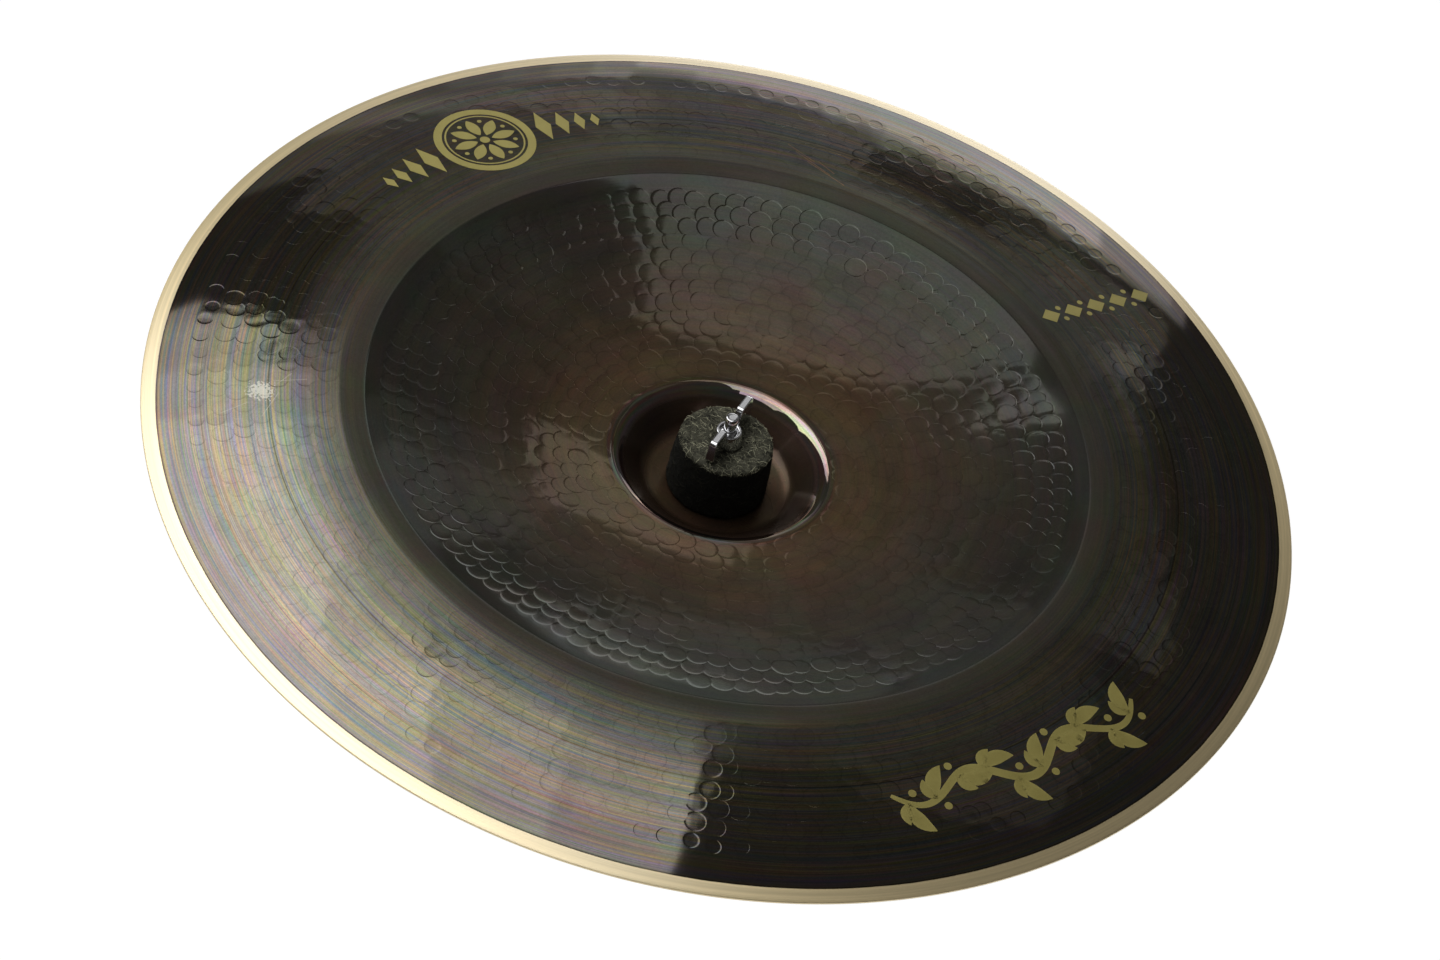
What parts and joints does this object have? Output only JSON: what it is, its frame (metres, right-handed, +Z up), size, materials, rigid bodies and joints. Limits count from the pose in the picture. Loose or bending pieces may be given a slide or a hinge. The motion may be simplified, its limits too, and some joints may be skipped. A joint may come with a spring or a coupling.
{
  "type": "china cymbal",
  "caption": "China cymbal hung bell down between felts on a threaded post, held by a wing nut.",
  "frame": {"origin": "centre of the mounting post's flat lower end", "axes": "+Z up along the post, -Y towards the viewer of the picture, +X to the viewer's right"},
  "size_m": [0.4572, 0.4572, 0.1154],
  "materials": {
    "dark_bronze": "burnt dark patina over turned and hammered bronze, with a bare bronze edge",
    "grey_wool": "pressed wool felt",
    "chrome_plate": "bright plated casting",
    "zinc_steel": "plated turned steel",
    "black_nylon": "moulded nylon"
  },
  "bodies": {
    "post": {"mounting_post": "zinc_steel"},
    "seat": {"flanged_sleeve": "black_nylon", "seat_washer": "zinc_steel", "lower_felt": "grey_wool", "upper_felt": "grey_wool"},
    "plate": {"cymbal": "dark_bronze"},
    "nut": {"wing_nut": "chrome_plate"}
  },
  "joints": [
    {"name": "cymbal_spin", "type": "hinge", "parent": "post", "child": "seat", "pos_m": [0, 0, 0.07], "axis": [0, 0, 1], "continuous": true},
    {"name": "cymbal_rock", "type": "hinge", "parent": "seat", "child": "plate", "pos_m": [0, 0, 0.0776], "axis": [0, 1, 0], "range_deg": [-10, 10], "stiffness_Nm_per_rad": 3, "deforming": ["upper_felt", "lower_felt"]},
    {"name": "wing_nut_turn", "type": "hinge", "parent": "post", "child": "nut", "pos_m": [0, 0, 0.105], "axis": [0, 0, 1], "continuous": true}
  ]
}
